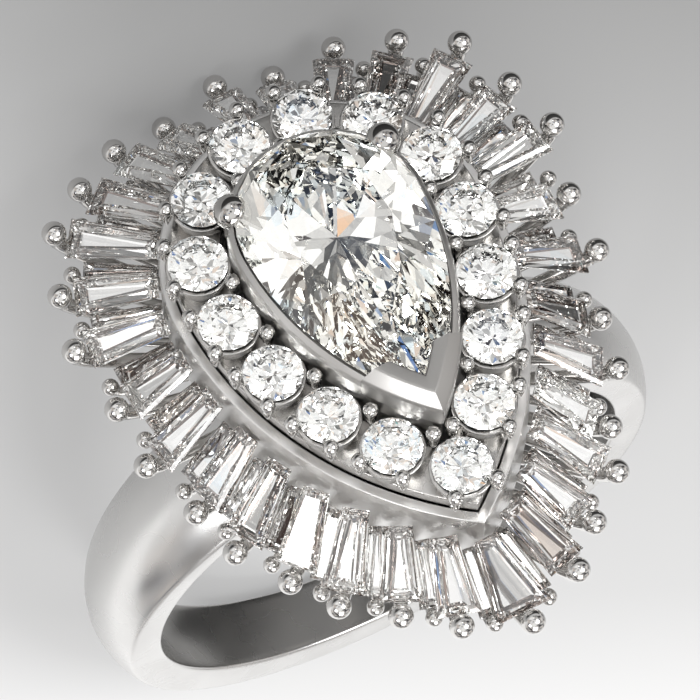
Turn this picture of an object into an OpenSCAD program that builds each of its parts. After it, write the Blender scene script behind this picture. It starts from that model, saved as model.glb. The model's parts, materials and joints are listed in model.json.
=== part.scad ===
// Cocktail ring: a pear stone in a halo of round stones, above a waving fan of
// tapered baguettes held by ball prongs, on a plain half-round band.
// Each piece is drawn in the frame of the head and then laid down as the ring rests.
// Head frame: origin at the middle of the pear's round end and level with the girdles
// of the halo stones, X across the finger, Y along it to the pear's point, Z out of it.

/* [Band] */
// Inside diameter of the band, which is the finger size
bore_d = 16.9; // [16.5:0.1:17.3]
// Thickness of the band from the finger to the crest of its dome
band_thick = 1.7; // [1.6:0.05:1.8]
// Width of the band at the palm side of the finger
band_palm_w = 2.1; // [1.8:0.1:2.6]
// Width of the band under the head
band_head_w = 4.6; // [4.2:0.1:4.8]
// Radius of the half-round outside, measured across the band
band_dome_r = 2.8; // [2.6:0.1:4]
// Height of the halo above the middle of the finger
halo_above_finger = 16.2; // [16:0.1:16.6]
// How far the band stands towards the pear's point from the middle of its round end
band_forward = 2; // [1.8:0.1:2.2]

/* [Pear stone] */
// Width of the pear stone
pear_w = 5.9; // [5.8:0.02:6]
// Radius of the pear's two long sides
pear_side_r = 9.95; // [9.9:0.02:10]
// Height of the pear's girdle above the halo
pear_lift = 1.4; // [1.3:0.05:1.5]
// Height of the pear's crown
pear_crown = 0.85; // [0.75:0.05:0.95]
// Depth of the pear's pavilion
pear_pavilion = 2.45; // [2.3:0.05:2.5]
// Radius of the balls on the pear's two claws
claw_r = 0.5; // [0.44:0.01:0.52]
// How far the V prong reaches back from the pear's point
vee_length = 1.6; // [1.2:0.1:2]

/* [Halo] */
// Diameter of each round stone
halo_d = 1.9; // [1.84:0.02:1.92]
// Distance of the round stones' centres outside the pear's outline
halo_out = 1.27; // [1.24:0.01:1.3]
// Radius of the small bead prongs
bead_r = 0.25; // [0.21:0.01:0.26]

/* [Fan of baguettes] */
// Distance of the baguettes' inner ends outside the pear's outline
fan_start = 2.55; // [2.5:0.05:2.6]
// Height of the upper baguettes' tables at the rim, against the halo
fan_level = -2.15; // [-2.25:0.05:-2.05]
// Width of an upper baguette at the rim
upper_inner_w = 0.86; // [0.76:0.02:0.9]
// Width of an upper baguette at its outer end
upper_outer_w = 1.36; // [1.2:0.02:1.4]
// Width at the rim of the baguette under the pear's point
point_inner_w = 0.8; // [0.7:0.02:0.84]
// Width at the outer end of the baguette under the pear's point
point_outer_w = 1.84; // [1.6:0.02:1.88]
// How far a lower baguette lies under its two neighbours
lower_drop = 0.68; // [0.64:0.02:0.72]
// How much shorter a lower baguette reaches than its neighbours
lower_back = 0.5; // [0.4:0.05:0.6]
// Width of a lower baguette at the rim
lower_inner_w = 0.6; // [0.5:0.02:0.64]
// Width of a lower baguette at its outer end
lower_outer_w = 1.1; // [0.9:0.02:1.16]
// Radius of the ball on each upper prong
ball_r = 0.4; // [0.35:0.01:0.41]
// Radius of the ball on each lower prong
low_ball_r = 0.28; // [0.24:0.01:0.3]

/* [Hidden] */
$fn = 96;

// One row for each upper prong from the round end to the point, the same on both sides.
// Columns: distance of the ball from the rim, height of the ball against the halo.
fan_rows = [
    [2.78, -4.37], [2.83, -5.22], [3.08, -4.12], [3.13, -3.22],
    [3.33, -2.32], [3.08, -2.52], [3.03, -2.32], [2.53, -3.32],
    [2.73, -3.82], [2.38, -4.72], [2.68, -4.42], [2.48, -4.62],
    [2.93, -3.52], [2.73, -3.22], [2.98, -2.47], [3.08, -2.52]];
reach_column = 0;
height_column = 1;
half_fan = len(fan_rows) - 1;
halo_count = 15;

// Clear space kept between two pieces
gap = 0.04;

// Outline of the pear: a half circle at the round end, then two long arcs to the point
pear_r = pear_w / 2;
arc_shift = pear_side_r - pear_r;
function side_turn(out) = acos(arc_shift / (pear_side_r + out));
function pear_tip(out) = sqrt(pow(pear_side_r + out, 2) - pow(arc_shift, 2));
function polar(r, a) = [r * cos(a), r * sin(a)];
function flip(p, side) = [side * p[0], p[1]];
function radians(a) = a * PI / 180;
function lerp(a, b, t) = a + (b - a) * t;

// Point at a distance along half of the pear's outline, from the round end to the point
function pear_half_length(out) =
    (pear_r + out) * PI / 2 + (pear_side_r + out) * radians(side_turn(out));
function pear_point(out, along) =
    along < (pear_r + out) * PI / 2
        ? polar(pear_r + out, along / radians(pear_r + out) - 90)
        : polar(pear_side_r + out,
                (along - (pear_r + out) * PI / 2) / radians(pear_side_r + out)) - [arc_shift, 0];

// Cut stones. An outline is a ring of points, and every so many of them one is the
// corner of a main facet. The main facets are planes through the table's corner or
// the culet and through the girdle, level along the outline.
mains = 8;
function up(p, z) = [p[0], p[1], z];
function girdle_way(ring, i) =
    up(ring[(i + 1) % len(ring)] - ring[(i + len(ring) - 1) % len(ring)], 0);
function plane(a, b, way) = let (n = cross(way, b - a)) [n[0], n[1], n[2], n * a];
function meet(p, q, z) = let (
    e = p[3] - p[2] * z,
    f = q[3] - q[2] * z,
    d = p[0] * q[1] - p[1] * q[0])
    [(e * q[1] - f * p[1]) / d, (p[0] * f - q[0] * e) / d, z];
function level_on(a, b, c, p) = let (n = cross(b - a, c - a))
    a[2] - (n[0] * (p[0] - a[0]) + n[1] * (p[1] - a[1])) / n[2];

module brilliant(ring, middle, table, crown, pavilion, girdle) {
    n = len(ring);
    step = n / mains;
    half = step / 2;
    star_share = 0.5;
    lower_share = 0.76;
    culet = up(middle, -girdle - pavilion);
    corners = [for (k = [0:mains - 1]) up(lerp(middle, ring[k * step], table), crown)];
    tops = [for (k = [0:mains - 1])
        plane(up(ring[k * step], 0), corners[k], girdle_way(ring, k * step))];
    bottoms = [for (k = [0:mains - 1])
        plane(up(ring[k * step], -girdle), culet, girdle_way(ring, k * step))];
    stars = [for (k = [0:mains - 1])
        meet(tops[k], tops[(k + 1) % mains], crown * (1 - star_share))];
    halves = [for (k = [0:mains - 1])
        meet(bottoms[k], bottoms[(k + 1) % mains], -girdle - pavilion * lower_share)];
    // Facets beside the girdle run down over its curve between their own two corners
    edge = function (apexes, z) [for (i = [0:n - 1]) let (
        k = floor(i / step),
        start = floor(i / half) * half,
        a = up(ring[start], z),
        b = up(ring[(start + half) % n], z))
        up(ring[i], i == start ? z : level_on(apexes[k], a, b, ring[i]))];
    over = edge(stars, 0);
    under = edge(halves, -girdle);
    points = concat(corners, stars, over, under, halves, [culet]);
    star_at = mains;
    over_at = 2 * mains;
    under_at = over_at + n;
    half_at = under_at + n;
    culet_at = half_at + mains;
    faces = concat(
        [[for (k = [mains - 1:-1:0]) k]],
        [for (k = [0:mains - 1]) [k, (k + 1) % mains, star_at + k]],
        [for (k = [0:mains - 1]) [k, star_at + k, over_at + k * step,
            star_at + (k + mains - 1) % mains]],
        [for (i = [0:n - 1]) [star_at + floor(i / step), over_at + (i + 1) % n, over_at + i]],
        [for (i = [0:n - 1]) [over_at + i, over_at + (i + 1) % n, under_at + i]],
        [for (i = [0:n - 1]) [over_at + (i + 1) % n, under_at + (i + 1) % n, under_at + i]],
        [for (i = [0:n - 1]) [half_at + floor(i / step), under_at + i, under_at + (i + 1) % n]],
        [for (k = [0:mains - 1]) [culet_at, half_at + (k + mains - 1) % mains,
            under_at + k * step, half_at + k]]);
    polyhedron(points, faces);
}

// Tapered step cut, its table level with Z = 0 and its inner end at X = 0.
// Columns of the steps: height, distance inside the outline.
function keel_inset(inner_w) = inner_w / 2 - 0.05;
module baguette(length, inner_w, outer_w, depth) {
    keel_in = keel_inset(inner_w);
    steps = [[0, 0.2], [-0.09, 0.09], [-0.2, 0], [-0.26, 0],
        [lerp(-0.26, -depth, 0.45), keel_in * 0.36], [-depth, keel_in]];
    half_w = function (x) lerp(inner_w, outer_w, x / length) / 2;
    points = [for (s = steps) each let (a = s[1], b = length - s[1])
        [[a, a - half_w(a), s[0]], [b, s[1] - half_w(b), s[0]],
         [b, half_w(b) - s[1], s[0]], [a, half_w(a) - s[1], s[0]]]];
    last = 4 * (len(steps) - 1);
    faces = concat([[3, 2, 1, 0]],
        [for (s = [0:len(steps) - 2], i = [0:3]) let (j = (i + 1) % 4)
            [4 * s + i, 4 * s + j, 4 * s + 4 + j, 4 * s + 4 + i]],
        [[last, last + 1, last + 2, last + 3]]);
    polyhedron(points, faces);
}

// Sites of the fan. They are evenly spaced along a line at the balls' usual distance,
// which turns round the point of the rim, and each looks straight out from the rim.
usual_reach = 2.55;
rim_corner = side_turn(fan_start);
path_round = (pear_r + fan_start + usual_reach) * PI / 2;
path_side = (pear_side_r + fan_start + usual_reach) * radians(rim_corner);
path_point = usual_reach * radians(90 - rim_corner);
path_half = path_round + path_side + path_point;
function site_turn(pos) =
    pos < path_round ? pos / path_round * 90 - 90 :
    pos < path_round + path_side ? (pos - path_round) / path_side * rim_corner :
    rim_corner + (pos - path_round - path_side) / path_point * (90 - rim_corner);
function site_foot(pos) =
    pos < path_round ? polar(pear_r + fan_start, site_turn(pos)) :
    pos < path_round + path_side
        ? polar(pear_side_r + fan_start, site_turn(pos)) - [arc_shift, 0] :
    [0, pear_tip(fan_start)];
function place_pos(place) = place / half_fan * path_half;

// From this place on the stones' inner ends are evenly spaced along the rim, with the
// last one at its point, and the stones swing round to reach their balls
swing_place = 9;
// How much narrower each swung lower stone's outer end is than the last one's
swung_trim = 0.07;
swing_run = pear_side_r + fan_start;
swing_length = swing_run * radians(rim_corner - site_turn(place_pos(swing_place)));
function rim_turn(place) = place <= swing_place ? site_turn(place_pos(place)) :
    rim_corner - swing_length / radians(swing_run) * (half_fan - place) / (half_fan - swing_place);
function fan_foot(place) = place <= swing_place ? site_foot(place_pos(place)) :
    polar(swing_run, rim_turn(place)) - [arc_shift, 0];
function fan_way(place, reach) = site_foot(place_pos(place))
    + polar(reach, site_turn(place_pos(place))) - fan_foot(place);
function fan_turn(place, reach) = let (w = fan_way(place, reach)) atan2(w[1], w[0]);
function swung(place, row) = [norm(fan_way(place, row[reach_column])), row[height_column]];
// A stone that leans along the rim starts a little further out, for its inner corner
function lean_start(place, row, inner_w) = place == half_fan ? 0.02 :
    place <= swing_place ? 0 : 0.04
        + inner_w / 2 * tan(abs(fan_turn(place, row[reach_column]) - rim_turn(place)));
// A lower stone takes its reach from both neighbours and its height mostly from the deeper
function lower_row(i) = let (a = fan_rows[i], b = fan_rows[i + 1])
    [(a[reach_column] + b[reach_column]) / 2 - lower_back,
     lerp(min(a[height_column], b[height_column]),
          max(a[height_column], b[height_column]), 0.25) - lower_drop];

// Carries its children to a site with X towards its ball; place 0 is the round end
module at_site(place, side, row) {
    foot = flip(fan_foot(place), side);
    turn = fan_turn(place, row[reach_column]);
    translate([foot[0], foot[1], 0]) rotate([0, 0, side > 0 ? turn : 180 - turn]) children();
}

// Sites of the upper and lower baguettes: row, side. The two in the middle come once.
uppers = concat([for (i = [0:half_fan]) [i, 1]], [for (i = [1:half_fan - 1]) [i, -1]]);
lowers = [for (i = [0:half_fan - 1], side = [1, -1]) [i, side]];

// Slope of a stone whose table is in line with the middle of its ball
function slope(row, level) = atan2(level - row[height_column], row[reach_column]);
function distance(row, level) = norm([row[reach_column], level - row[height_column]]);
ball_clear = 0.03;

// Baguette fitted between the rim and its ball. A steep one starts further down, so
// that its underside stays clear of the gallery's wall.
module fan_baguette(row, level, start, r, inner_w, outer_w, depth) {
    s = slope(row, level);
    underside = depth * tan(s) - keel_inset(inner_w);
    inner = start / cos(s) + max(0, underside - 0.03 / cos(s), 0.26 * tan(s) - 0.03 / cos(s));
    translate([0, 0, level]) rotate([0, s, 0]) translate([inner, 0, 0])
        baguette(distance(row, level) - r - ball_clear - inner, inner_w, outer_w, depth);
}

// Ball prong: its upper part stands along the stone's end, and its lower part runs in
// under the stone to the middle of the gallery's wall
module prong(row, level, r) {
    s = slope(row, level);
    knee = 0.75;
    knee_x = row[reach_column] - knee * sin(s);
    knee_z = row[height_column] - knee * cos(s);
    foot_x = -0.68;
    foot_z = -5.7;
    translate([row[reach_column], 0, row[height_column]]) rotate([0, s, 0]) {
        sphere(r);
        translate([0, 0, -knee - 0.15]) cylinder(h = knee + 0.15, r = 0.7 * r);
    }
    translate([foot_x, 0, foot_z])
        rotate([0, atan2(knee_x - foot_x, knee_z - foot_z), 0])
            cylinder(h = norm([knee_x - foot_x, knee_z - foot_z]), r = 0.6 * r);
}

// Sweeps a profile round the pear. In the profile X is the distance outside the
// centre stone's outline and Y is the height.
module pear_sweep() {
    turn = 62;
    reach = 20;
    rotate([0, 0, 180]) rotate_extrude(angle = 180) translate([pear_r, 0]) children();
    for (side = [0, 1]) mirror([side, 0, 0]) intersection() {
        translate([-arc_shift, 0, 0]) rotate_extrude(angle = turn)
            translate([pear_side_r, 0]) children();
        translate([0, 0, -reach / 2]) cube(reach);
    }
}

// Pieces in the head frame
// Halo stone 0 is at the point and the others follow clockwise
function halo_along(i) = let (
    half = pear_half_length(halo_out),
    along = 2 * half * (i < 0 ? i + halo_count : i) / halo_count)
    along <= half ? [half - along, 1] : [along - half, -1];
function halo_centre(i) = let (s = halo_along(i)) flip(pear_point(halo_out, s[0]), s[1]);
function way(v) = atan2(v[1], v[0]);
function halo_out_way(i) = way(halo_centre(i + 0.5) - halo_centre(i - 0.5)) + 90;
function halo_gap_way(i) = way(halo_centre(i + 1) - halo_centre(i)) + 90;

module band() {
    outer_r = bore_d / 2 + band_thick;
    span = 2 * outer_r + 2;
    color("gainsboro") difference() {
        intersection() {
            rotate([90, 0, 0]) rotate_extrude() intersection() {
                translate([bore_d / 2 - 0.5, -band_head_w / 2])
                    square([band_thick + 1, band_head_w]);
                translate([outer_r - band_dome_r, 0]) circle(band_dome_r);
            }
            rotate([90, 0, 90]) linear_extrude(span, center = true) polygon([
                [-band_palm_w / 2, -outer_r], [band_palm_w / 2, -outer_r],
                [band_head_w / 2, outer_r], [-band_head_w / 2, outer_r]]);
        }
        rotate([90, 0, 0]) cylinder(d = bore_d, h = span, center = true);
    }
}

module shank() {
    translate([0, band_forward, -halo_above_finger]) band();
}

seat_z = -6.0;
base_z = -6.8;
rim_z = -1.45;
module gallery() {
    saddle_r = bore_d / 2 + band_thick + gap;
    color("silver") difference() {
        union() {
            pear_sweep() polygon([[-1, base_z], [1.5, base_z], [1.9, base_z + 0.2],
                [2.46, -4.2], [2.46, rim_z - 0.04], [2.42, rim_z], [2.16, rim_z],
                [2.12, rim_z - 0.04], [2.04, -1.9], [2.04, -4.2], [1.45, seat_z],
                [-1, seat_z]]);
            for (u = uppers) let (row = fan_rows[u[0]])
                at_site(u[0], u[1], row) prong(swung(u[0], row), fan_level, ball_r);
            for (u = lowers) let (row = lower_row(u[0]), place = u[0] + 0.5)
                at_site(place, u[1], row)
                    prong(swung(place, row), fan_level - lower_drop, low_ball_r);
        }
        translate([0, band_forward, -halo_above_finger]) rotate([90, 0, 0])
            cylinder(r = saddle_r, h = band_head_w + 2 * gap, center = true);
    }
}

seat_rim_r = halo_d / 2 + 0.14;
module round_seat() {
    translate([0, 0, -1.5]) cylinder(h = 1.4, r1 = 0.74, r2 = seat_rim_r);
}

module round_pocket() {
    pocket_r = halo_d / 2 + gap;
    translate([0, 0, -1.08]) cylinder(h = 0.98, r1 = 0.1, r2 = pocket_r);
    translate([0, 0, -0.101]) cylinder(h = 0.3, r = pocket_r);
    translate([0, 0, -2]) cylinder(h = 2, r = 0.4);
}

module bead() {
    translate([0, 0, -1.2]) cylinder(h = 1.4, r = bead_r - 0.1);
    translate([0, 0, 0.2]) sphere(bead_r);
}

// Two beads outside every stone, and one inside every gap that has no claw of the pear
claw_gaps = [5, 9];
module halo_setting() {
    color("silver") union() {
        difference() {
            union() {
                pear_sweep() polygon([[0.8, seat_z + gap], [1.2, seat_z + gap],
                    [1.25, -1.9], [2.1, -1.4], [2.1, -0.9], [0.5, -0.9], [0.5, -1.4],
                    [0.8, -1.9]]);
                for (i = [0:halo_count - 1]) let (c = halo_centre(i))
                    translate([c[0], c[1], 0]) round_seat();
            }
            for (i = [0:halo_count - 1]) let (c = halo_centre(i))
                translate([c[0], c[1], 0]) round_pocket();
        }
        for (i = [0:halo_count - 1], a = [-38, 38]) let (c = halo_centre(i))
            translate([c[0], c[1], 0]) rotate([0, 0, halo_out_way(i) + a])
                translate([halo_d / 2 + 0.22, 0, 0]) bead();
        for (i = [0:halo_count - 1]) if (len(search(i, claw_gaps)) == 0) let (
            c = (halo_centre(i) + halo_centre(i < halo_count - 1 ? i + 1 : 0)) / 2)
            translate([c[0], c[1], 0]) rotate([0, 0, halo_gap_way(i)])
                translate([-0.68, 0, 0]) bead();
    }
}

pear_girdle = 0.12;
claw_turn = -30;
module claw() {
    lean_over = 0.08;
    translate([pear_r + 0.15, 0, -1.2]) cylinder(h = pear_lift + 1, r = 0.27);
    translate([pear_r + lean_over, 0, pear_lift + 0.05]) sphere(claw_r);
}

module pear_setting() {
    z = pear_lift;
    color("silver") union() {
        pear_sweep() polygon([[-0.95, seat_z + gap], [-0.5, seat_z + gap], [0.1, z - 0.5],
            [0.1, z - 0.17], [-0.2, z - 0.42], [-0.42, z - 0.75]]);
        difference() {
            for (a = [claw_turn, 180 - claw_turn]) rotate([0, 0, a]) claw();
            pear_sweep() polygon([[-1.2, z - 1.2], [-0.4, z - 0.5], [0.03, z - 0.15],
                [0.03, z + 0.03], [-1.2, z + 1.2]]);
        }
        intersection() {
            pear_sweep() polygon([[0, z - 0.9], [0.12, z - 1.05], [0.32, z - 0.8],
                [0.32, z + 0.2], [0.2, z + 0.45], [-0.2, z + 0.45], [-0.2, z + 0.22],
                [0.05, z + 0.04], [0.05, z - 0.2], [0, z - 0.3]]);
            translate([-5, pear_tip(0) - vee_length, 0]) cube(10);
        }
    }
}

module pear_stone() {
    per_main = 4;
    n = mains * per_main;
    half = pear_half_length(0);
    ring = [for (i = [0:n - 1]) let (along = 2 * half * i / n)
        along <= half ? pear_point(0, along) : flip(pear_point(0, 2 * half - along), -1)];
    color("white", 0.5) translate([0, 0, pear_lift])
        brilliant(ring, [0, 0.5], 0.56, pear_crown, pear_pavilion, pear_girdle);
}

module halo_stone(i) {
    sides = 16;
    c = halo_centre(i);
    ring = [for (k = [0:sides - 1]) polar(halo_d / 2, k * 360 / sides)];
    color("white", 0.5) translate([c[0], c[1], 0.02])
        rotate([0, 0, halo_out_way(i)]) brilliant(ring, [0, 0], 0.57, 0.3, 0.82, 0.05);
}

// The stone at the point is broader and flatter than the others
module upper_baguettes() {
    color("azure", 0.5) for (u = uppers) let (row = fan_rows[u[0]], at_point = u[0] == half_fan)
        at_site(u[0], u[1], row) fan_baguette(swung(u[0], row), fan_level,
            lean_start(u[0], row, upper_inner_w), ball_r,
            at_point ? point_inner_w : upper_inner_w,
            at_point ? point_outer_w : upper_outer_w, at_point ? 0.56 : 0.62);
}

module lower_baguettes() {
    color("lavender", 0.5) for (u = lowers) let (row = lower_row(u[0]), place = u[0] + 0.5)
        at_site(place, u[1], row) fan_baguette(swung(place, row), fan_level - lower_drop,
            lean_start(place, row, lower_inner_w), low_ball_r,
            lower_inner_w, lower_outer_w - swung_trim * max(0, place - swing_place), 0.55);
}

// Lays the ring on its side: the band's edge and the two lowest prongs touch the floor
heel_place = 1;
heel_pos = place_pos(heel_place);
heel_row = fan_rows[heel_place];
heel_xy = site_foot(heel_pos) + polar(heel_row[reach_column], site_turn(heel_pos));
heel = [heel_xy[1], heel_row[height_column]];
palm_r = bore_d / 2 + band_thick - band_dome_r
    + sqrt(pow(band_dome_r, 2) - pow(band_palm_w / 2, 2));
palm = [band_forward - band_palm_w / 2, -halo_above_finger - palm_r];
lean = atan2(palm[0] - heel[0], heel[1] - palm[1])
    + asin(ball_r / norm(heel - palm));
rest_lift = -palm[0] * cos(lean) - palm[1] * sin(lean);
rest_back = -11.26;

module laid() {
    translate([0, rest_back, rest_lift]) rotate([90 - lean, 0, 0]) children();
}

laid() shank();
laid() gallery();
laid() halo_setting();
laid() pear_setting();
laid() pear_stone();
laid() halo_stone(0);  // halo_stone_01
laid() halo_stone(1);  // halo_stone_02
laid() halo_stone(2);  // halo_stone_03
laid() halo_stone(3);  // halo_stone_04
laid() halo_stone(4);  // halo_stone_05
laid() halo_stone(5);  // halo_stone_06
laid() halo_stone(6);  // halo_stone_07
laid() halo_stone(7);  // halo_stone_08
laid() halo_stone(8);  // halo_stone_09
laid() halo_stone(9);  // halo_stone_10
laid() halo_stone(10);  // halo_stone_11
laid() halo_stone(11);  // halo_stone_12
laid() halo_stone(12);  // halo_stone_13
laid() halo_stone(13);  // halo_stone_14
laid() halo_stone(14);  // halo_stone_15
laid() upper_baguettes();
laid() lower_baguettes();
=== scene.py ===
"""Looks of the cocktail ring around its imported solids.

Shapes are drawn in the frame of the head, in millimetres: origin at the middle of the
pear's round end and level with the halo stones' girdles, X across the finger, Y along
it to the pear's point, Z out of it. LAY carries them to the row's frame, in metres.
"""
import json
import math
import random

import bmesh
import bpy
import numpy as np
from mathutils import Matrix, Vector


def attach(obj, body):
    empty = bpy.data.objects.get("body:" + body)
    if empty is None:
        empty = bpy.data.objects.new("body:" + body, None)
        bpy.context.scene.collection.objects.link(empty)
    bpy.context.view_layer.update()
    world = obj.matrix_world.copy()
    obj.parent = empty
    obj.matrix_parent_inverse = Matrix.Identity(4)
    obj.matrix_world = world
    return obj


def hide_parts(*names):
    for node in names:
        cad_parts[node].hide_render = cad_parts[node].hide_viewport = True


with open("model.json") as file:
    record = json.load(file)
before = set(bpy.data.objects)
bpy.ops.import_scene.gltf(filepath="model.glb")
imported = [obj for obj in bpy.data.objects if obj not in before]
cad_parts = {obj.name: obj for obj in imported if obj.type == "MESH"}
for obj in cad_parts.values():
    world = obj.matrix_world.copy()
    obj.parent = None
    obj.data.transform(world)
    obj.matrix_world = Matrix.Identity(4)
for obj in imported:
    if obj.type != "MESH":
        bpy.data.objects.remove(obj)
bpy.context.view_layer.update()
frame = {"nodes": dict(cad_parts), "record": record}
nodes = frame["nodes"]
MM = 0.001

# Band
BORE_R = 8.45
BAND_THICK = 1.7
BAND_PALM_W = 2.1
BAND_HEAD_W = 4.6
BAND_DOME_R = 2.8
BAND_EDGE_R = 0.14
BAND_OUTER_R = BORE_R + BAND_THICK
BAND_MIDDLE = Vector((0, 2, -16.2))
# Pear stone and the outline that everything round it follows
PEAR_R = 2.95
PEAR_SIDE_R = 9.95
ARC_SHIFT = PEAR_SIDE_R - PEAR_R
PEAR_LIFT = 1.4
# Claws of the pear stone: the radius of the ball and its lowest angle, how far outside the
# outline the claws stand and at what angle round it, and the post's radii and heights
CLAW_R = 0.56
CLAW_BALL_START = -50
CLAW_OUT = 0.1
CLAW_TURN = -30
CLAW_POST = ((0, -1.2), (0.27, -1.2), (0.29, PEAR_LIFT - 0.5))
CLAW_BALL_Z = PEAR_LIFT + 0.05
VEE_LENGTH = 1.6
# Halo: number and size of its stones, how far outside the outline they stand, and the wall
# and the rim of a seat
HALO_COUNT = 15
HALO_D = 1.9
HALO_OUT = 1.27
SEAT_WALL = 0.09
SEAT_RIM_Z = -0.17
# Beads round the halo stones: two outside each, at an angle and a distance, and one inside
# each gap, at a distance from the line between the stones. The claws take two of the gaps
BEAD_R = 0.25
BEAD_Z = 0.2
BEAD_START = -45
BEAD_TURN = 38
BEAD_OUT = 0.22
INNER_BEAD_BACK = 0.68
CLAW_GAPS = (5, 9)
# Heights of the setting's parts
SEAT_Z = -6.0
BASE_Z = -6.8
RIM_Z = -1.45
SOLDER_GAP = 0.04
# Fan of baguettes: its start outside the pear's outline and its level there, and how a
# lower prong follows from its upper neighbours: how far from the lower one's height to the
# higher one's, and then how much lower and shorter
FAN_START = 2.55
FAN_LEVEL = -2.15
LOWER_SHARE = 0.25
LOWER_DROP = 0.68
LOWER_BACK = 0.5
# The distance from the rim at which the prongs are evenly spaced, and the place from which
# the stones swing round to the point
USUAL_REACH = 2.55
SWING_PLACE = 9
# Prongs: balls, the length from a ball to the bend, the shares of the way from the bend to
# the root at which the curve ends and the stem has one more point, the root's place against
# the rim, and the stem's thickness at the ball and at the root against the ball's
BALL_R = 0.4
LOW_BALL_R = 0.28
KNEE = 0.75
CURVE_END = 0.3
STEM_POINT = 0.65
ROOT_BACK = 0.3
ROOT_Z = -5.5
STEM_SHARES = (0.7, 0.6)
# One row for each upper prong from the round end to the point: the distance of its ball
# from the rim, and the ball's height against the halo
FAN_ROWS = [
    (2.78, -4.37), (2.83, -5.22), (3.08, -4.12), (3.13, -3.22),
    (3.33, -2.32), (3.08, -2.52), (3.03, -2.32), (2.53, -3.32),
    (2.73, -3.82), (2.38, -4.72), (2.68, -4.42), (2.48, -4.62),
    (2.93, -3.52), (2.73, -3.22), (2.98, -2.47), (3.08, -2.52)]
# Points closer than this are one point, in millimetres. Edges sharper than these angles
# stay sharp: in general, on the claws, and on prongs and beads
SAME_PLACE = 1e-4
CREASE = 32
CLAW_CREASE = 40
PRONG_CREASE = 50


def lerp(a, b, t):
    return a + (b - a) * t


def polar(r, turn):
    """Point at a distance and an angle in degrees."""
    return Vector((r * math.cos(math.radians(turn)), r * math.sin(math.radians(turn))))


def flip(p, side):
    """A point on side 1, or its mirror image on side -1."""
    return Vector((side * p[0], p[1]))


# How the ring lies: the mount says where the band's axis ended up

def head_to_row():
    """The matrix from the head's frame in millimetres to the row's frame in metres."""
    bore = next(m for m in frame["record"]["mounts"] if m["kind"] == "bore")
    axis = bore["axis"]
    turn = Matrix.Rotation(math.atan2(axis[2], axis[1]), 4, "X")
    place = Vector(bore["pos_m"]) - turn @ (BAND_MIDDLE * MM)
    return Matrix.Translation(place) @ turn @ Matrix.Scale(MM, 4)


LAY = head_to_row()


# The pear's outline and sweeps round it

def side_turn(out):
    """Degrees that the long side turns through, at a distance outside the outline."""
    return math.degrees(math.acos(ARC_SHIFT / (PEAR_SIDE_R + out)))


def pear_tip(out):
    return math.sqrt((PEAR_SIDE_R + out) ** 2 - ARC_SHIFT ** 2)


def round_length(out):
    return (PEAR_R + out) * math.pi / 2


def pear_half_length(out):
    return round_length(out) + (PEAR_SIDE_R + out) * math.radians(side_turn(out))


def pear_point(out, along):
    """Point at a distance along half of the outline, from the round end to the point."""
    if along < round_length(out):
        return polar(PEAR_R + out, math.degrees(along / (PEAR_R + out)) - 90)
    turn = math.degrees((along - round_length(out)) / (PEAR_SIDE_R + out))
    return polar(PEAR_SIDE_R + out, turn) - Vector((ARC_SHIFT, 0))


def pear_loop(out, round_steps=44, side_steps=46):
    """The whole outline at a distance, with as many points at any distance."""
    half = [polar(PEAR_R + out, 90 * k / round_steps - 90) for k in range(round_steps)]
    half += [polar(PEAR_SIDE_R + out, side_turn(out) * k / side_steps) - Vector((ARC_SHIFT, 0))
             for k in range(side_steps + 1)]
    return half + [flip(p, -1) for p in reversed(half[1:-1])]


def rounded(profile, radius, corners=None, steps=4, most=0.45):
    """A profile with its corners rounded, all of them or the ones numbered. A rounding takes
    at most a share of each edge."""
    points = []
    for i, corner in enumerate(profile):
        corner = Vector(corner)
        if corners is not None and i not in corners:
            points.append(corner)
            continue
        before = Vector(profile[i - 1]) - corner
        after = Vector(profile[(i + 1) % len(profile)]) - corner
        start = corner + before * min(most, radius / before.length)
        end = corner + after * min(most, radius / after.length)
        for k in range(steps + 1):
            t = k / steps
            points.append(start.lerp(corner, t).lerp(corner.lerp(end, t), t))
    return points


# Meshes

def put(name, data):
    """A new object of the scene that holds a mesh, a light or a camera."""
    item = bpy.data.objects.new(name, data)
    bpy.context.scene.collection.objects.link(item)
    return item


def plain_mesh(name, bm, *materials):
    mesh = bpy.data.meshes.new(name)
    bm.to_mesh(mesh)
    bm.free()
    for material in materials:
        mesh.materials.append(material)
    return mesh


def clean_mesh(name, bm, *materials):
    """A mesh whose double points are joined and whose faces look outwards."""
    bmesh.ops.remove_doubles(bm, verts=bm.verts, dist=SAME_PLACE)
    bmesh.ops.recalc_face_normals(bm, faces=bm.faces)
    return plain_mesh(name, bm, *materials)


def laid_down(mesh, crease):
    """Takes a mesh from the head's frame to the row's, smooth up to an angle."""
    mesh.transform(LAY)
    mesh.shade_smooth()
    mesh.set_sharp_from_angle(angle=math.radians(crease))
    return mesh


def finished(name, bm, *materials):
    """A mesh in the head's frame laid down as a piece."""
    return put(name, laid_down(clean_mesh(name, bm, *materials), CREASE))


def grid_faces(bm, rows, close_rows=True, close_columns=True):
    """Joins rows of points, all of one length, with four-sided faces."""
    verts = [[bm.verts.new(p) for p in row] for row in rows]
    width = len(rows[0])
    for j in range(len(rows) - (0 if close_rows else 1)):
        near = verts[j]
        far = verts[(j + 1) % len(rows)]
        for i in range(width - (0 if close_columns else 1)):
            k = (i + 1) % width
            bm.faces.new((near[i], near[k], far[k], far[i]))
    return verts


def pear_sweep(bm, profile):
    """A closed profile of distances outside the outline and heights, swept round it."""
    rows = [[(*p, z) for p in pear_loop(out)] for out, z in profile]
    grid_faces(bm, rows)


def turned(bm, profile, sides):
    """A profile of radii and heights turned about Z. A radius of zero closes an end."""
    rings = [[(*polar(r, 360 * k / sides), z) for k in range(sides)] for r, z in profile]
    grid_faces(bm, rings, close_rows=False)


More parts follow.
